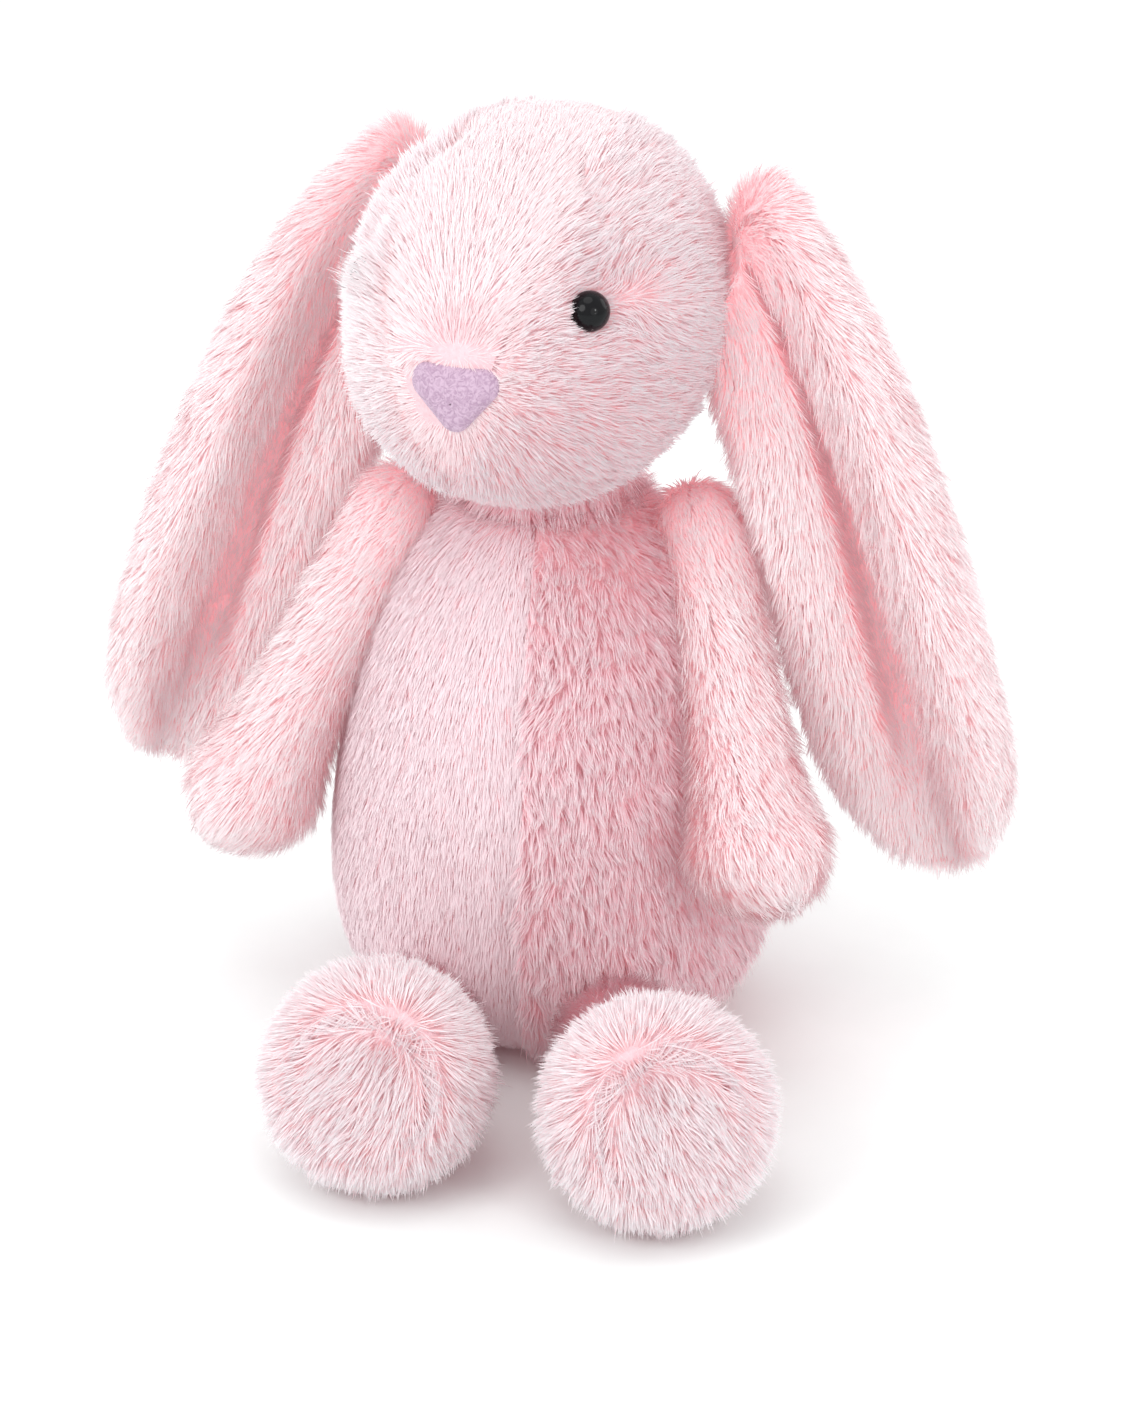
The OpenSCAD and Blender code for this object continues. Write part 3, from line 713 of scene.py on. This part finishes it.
# ---------------------------------------------------------------- the parts


def clothe(form, body, node, colour, fill, coat=None, **changes):
    """Puts one CAD node's cloth and pile on a form, and lets both move with the body."""
    skin = skin_piece(form, node, CLOTHS[colour])
    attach(skin, body)
    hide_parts(node)
    if coat is not None:
        pile = dict(COATS[coat], **changes)
        tones = PILES[f"{colour}_sleek" if coat == "sleek" else f"{colour}_tufted"]
        fur = pile_piece(form, node, tones, **pile)
        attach(fur, body)


def build_nose():
    """The nose patch: a crowned triangle with round corners over the tip of the muzzle."""
    forward = face_direction(NOSE_SIDE, -NOSE_SLOPE)
    right = np.array([math.cos(HEAD_TURN), math.sin(HEAD_TURN), 0])
    up = np.cross(right, forward)
    up = up if up[2] > 0 else -up
    rings, around = 16, 72
    corner = NOSE_CORNER
    x, y = NOSE_W / 2 - corner, NOSE_H / 2 - corner
    centres = [(x, y), (-x, y), (0, -y)]
    side = math.atan2(x, 2 * y)
    spans = [(-side, math.pi / 2), (math.pi / 2, math.pi + side), (math.pi + side, 2 * math.pi - side)]
    edge = []
    for (cx, cy), (a0, a1) in zip(centres, spans):
        edge += [(cx + corner * math.cos(a), cy + corner * math.sin(a))
                 for a in np.linspace(a0, a1, around // 3)]
    edge = np.array(edge)
    s = np.linspace(0.02, 1, rings)[:, None, None]
    flat = edge[None] * s
    d = unit(forward * head_reach(forward[None])[0] + flat[..., :1] * right + flat[..., 1:] * up)
    rise = 1.6 * MM * (1 - s[..., 0] ** 5) + SKIN_INSET - 0.4 * MM
    points = head_surface(d, inset=SKIN_INSET) + d * rise[..., None]
    points = np.concatenate([points, (head_surface(d[-1:], inset=SKIN_INSET) - d[-1:] * 0.5 * MM)])
    form = Form(points, np.zeros_like(points) + up, np.full(points.shape[:2], "nose_patch"),
                outward=head_centre())
    nose = make_mesh("nose", form.p, [form.quads], [nose_cloth()])
    cap = nose.modifiers.new("smooth", "SUBSURF")
    cap.levels = cap.render_levels = 1
    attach(nose, "head")
    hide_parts("nose_patch")


def near_face(p):
    """Which pile roots on the head are clear of the nose patch and the eyes."""
    centre = head_centre()
    right = np.array([math.cos(HEAD_TURN), math.sin(HEAD_TURN), 0])
    d = unit(p - centre)
    forward = face_direction(NOSE_SIDE, -NOSE_SLOPE)
    up = unit(tangent(np.array([[0, 0, 1.0]]), forward[None]))[0]
    x, y = (p - centre) @ right, (p - centre) @ up
    ahead = d @ forward > 0.6
    low = np.clip((y + NOSE_H / 2) / NOSE_H, 0, 1)
    in_nose = ahead & (np.abs(x) < NOSE_W / 2 * (0.1 + 0.78 * low)) & (np.abs(y) < NOSE_H / 2 - 2 * MM)
    in_eye = np.zeros(len(p), bool)
    for s in (1, -1):
        eye = centre + face_direction(s * EYE_SPREAD, EYE_LIFT) * head_reach(
            face_direction(s * EYE_SPREAD, EYE_LIFT)[None])[0]
        in_eye |= np.linalg.norm(p - eye, axis=1) < EYE_R * 0.78
    return ~(in_nose | in_eye)


def build_eyes():
    material = eye_bead()
    for side in SIDES:
        frame["nodes"][f"eye_{side}"].data.materials.clear()
        frame["nodes"][f"eye_{side}"].data.materials.append(material)
        frame["nodes"][f"eye_{side}"].data.shade_smooth()


COATS = {
    "sleek": dict(length=7.0 * MM, density=3.4, lean=(1.2, 1.42), clump=2.6 * MM, pull=0.15, ruffle=0.09,
                  streaks=0.2, mess=0.5),
    "plush": dict(length=7.5 * MM, density=3.1, lean=(0.85, 1.2), clump=2.8 * MM, pull=0.45, ruffle=0.22,
                  wander=15 * MM, streaks=0.3),
    "tufted": dict(length=7.5 * MM, density=3.0, lean=(0.7, 1.05), clump=3.2 * MM, pull=0.75, ruffle=0.42,
                   wander=11 * MM),
}


def build_soft_bodies():
    clothe(neck_form(), "neck", "neck_core", "pink", 0.8, "tufted", seed=10)
    torso, head, tail = torso_form(), head_form(), tail_form()
    clothe(torso, "torso", "torso_front_right", "pink", 0.8, "sleek", streaks=0.12, mess=0.4, seed=11)
    clothe(torso, "torso", "torso_front_left", "pink", 0.8, "tufted", seed=12)
    clothe(torso, "torso", "torso_back", "pink", 0.8, "sleek", density=2.2, seed=13)
    clothe(torso, "torso", "seat_panel", "pink", 0.7)
    face = dict(length=6.8 * MM, keep=near_face)
    clothe(head, "head", "forehead_gusset", "face", 0.9, "sleek", lean=(1.18, 1.4), ruffle=0.2, mess=0.5,
           streaks=0.1, density=3.8, seed=21, **face)
    clothe(head, "head", "cheek_left", "face", 0.9, "plush", ruffle=0.34, seed=22, **face)
    clothe(head, "head", "cheek_right", "face", 0.9, "plush", seed=23, **face)
    clothe(head, "head", "chin_panel", "face", 0.9, "sleek", lean=(0.95, 1.25), seed=24, **face)
    clothe(tail, "tail", "tail_cover", "pale", 0.8, "tufted", lean=(0.3, 0.7), seed=31)
    for k, side in enumerate(SIDES):
        ear, arm, leg, foot = ear_form(side), arm_form(side), leg_form(side), foot_form(side)
        clothe(ear, f"ear_{side}", f"ear_{side}_back", "pale", 0.3, "plush", seed=41 + k)
        clothe(ear, f"ear_{side}", f"ear_{side}_lining", "pale", 0.3, "plush", seed=43 + k)
        clothe(arm, f"arm_{side}", f"arm_{side}_outer", "pale", 0.8, "plush", seed=51 + k)
        clothe(arm, f"arm_{side}", f"arm_{side}_inner", "pale", 0.8, "plush", seed=53 + k)
        clothe(leg, f"leg_{side}", f"leg_{side}_sleeve", "pink", 0.7, "tufted", seed=55 + k)
        clothe(foot, f"foot_{side}", f"foot_{side}_upper", "face", 0.8, "plush", seed=57 + k)
        clothe(foot, f"foot_{side}", f"foot_{side}_sole", "face", 0.8, "plush", seed=59 + k)


# ---------------------------------------------------------------- stage, light and camera

VIEW_AZIMUTH = math.radians(10)
VIEW_ELEVATION = math.radians(23)
VIEW_DISTANCE = 1.1
VIEW_TARGET = Vector((3 * MM, 0, 85 * MM))
LENS = 105.0                  # for a 36 mm high sensor
FLOOR_HALF = 6.0


def build_stage():
    material = principled("floor", (0.91, 0.955, 0.95), 0.9)
    tree = material.node_tree
    grain = noise_texture(tree, 60, 2.0)
    ramp = colour_ramp(tree, grain.outputs["Fac"], (0.905, 0.95, 0.945), (0.915, 0.96, 0.955))
    tree.links.new(ramp.outputs["Color"], tree.nodes["Principled BSDF"].inputs["Base Color"])
    mesh = bpy.data.meshes.new("floor")
    corners = [(x * FLOOR_HALF, y * FLOOR_HALF, 0) for x, y in ((-1, -1), (1, -1), (1, 1), (-1, 1))]
    mesh.from_pydata(corners, [], [(0, 1, 2, 3)])
    mesh.materials.append(material)
    floor = bpy.data.objects.new("floor", mesh)
    bpy.context.scene.collection.objects.link(floor)


def area_light(name, place, aim, size, power):
    light = bpy.data.lights.new(name, "AREA")
    light.shape, light.size, light.energy = "DISK", size, power
    obj = bpy.data.objects.new(name, light)
    obj.location = place
    obj.rotation_euler = (Vector(aim) - Vector(place)).to_track_quat("-Z", "Y").to_euler()
    bpy.context.scene.collection.objects.link(obj)


BODY_MIDDLE, HEAD_MIDDLE = (0, 0, 0.12), (0, 0, 0.2)
LIGHTS = {                    # place, aim, size and power
    "key": ((-0.75, -1.05, 0.9), BODY_MIDDLE, 0.9, 7.0),
    "fill": ((0.9, -1.2, 0.55), BODY_MIDDLE, 1.1, 2.2),
    "spark": ((0.77, -0.79, 0.62), HEAD_MIDDLE, 0.14, 1.0),    # the glint in the left eye
    "rim_right": ((1.1, 0.7, 0.7), BODY_MIDDLE, 1.0, 3.2),
    "rim_left": ((-1.1, 0.8, 0.7), BODY_MIDDLE, 1.0, 2.6),
    "top": ((-0.1, -0.25, 1.5), BODY_MIDDLE, 1.0, 3.4),
}
SKY_STRENGTH = 0.95


def build_light():
    world = bpy.data.worlds.new("studio")
    bpy.context.scene.world = world
    world.use_nodes = True
    world.node_tree.nodes["Background"].inputs["Color"].default_value = (1, 1, 1, 1)
    world.node_tree.nodes["Background"].inputs["Strength"].default_value = SKY_STRENGTH
    for name, (place, aim, size, power) in LIGHTS.items():
        area_light(name, place, aim, size, power)


def build_camera():
    data = bpy.data.cameras.new("camera")
    data.sensor_fit, data.sensor_height, data.lens = "VERTICAL", 36, LENS
    data.clip_start, data.clip_end = 0.05, 30
    camera = bpy.data.objects.new("camera", data)
    back = Vector((math.sin(VIEW_AZIMUTH) * math.cos(VIEW_ELEVATION),
                   -math.cos(VIEW_AZIMUTH) * math.cos(VIEW_ELEVATION), math.sin(VIEW_ELEVATION)))
    camera.location = VIEW_TARGET + back * VIEW_DISTANCE
    camera.rotation_euler = back.to_track_quat("Z", "Y").to_euler()
    bpy.context.scene.collection.objects.link(camera)
    bpy.context.scene.camera = camera
    bpy.context.scene.view_settings.view_transform = "Standard"


def finish_inner_nodes():
    """Gives the nodes inside the cloth, which never show, plain woven and fibre finishes."""
    fibre = backing_cloth("fibre", (0.80, 0.80, 0.78), (0.93, 0.93, 0.91))
    pouch = backing_cloth("pouch", (0.60, 0.57, 0.52), (0.72, 0.69, 0.64))
    for name, node in frame["nodes"].items():
        inner = fibre if "stuffing" in name else pouch if "pouch" in name or "washer" in name else None
        if inner is not None:
            node.data.materials.clear()
            node.data.materials.append(inner)


build_soft_bodies()
build_nose()
build_eyes()
finish_inner_nodes()
build_stage()
build_light()
build_camera()
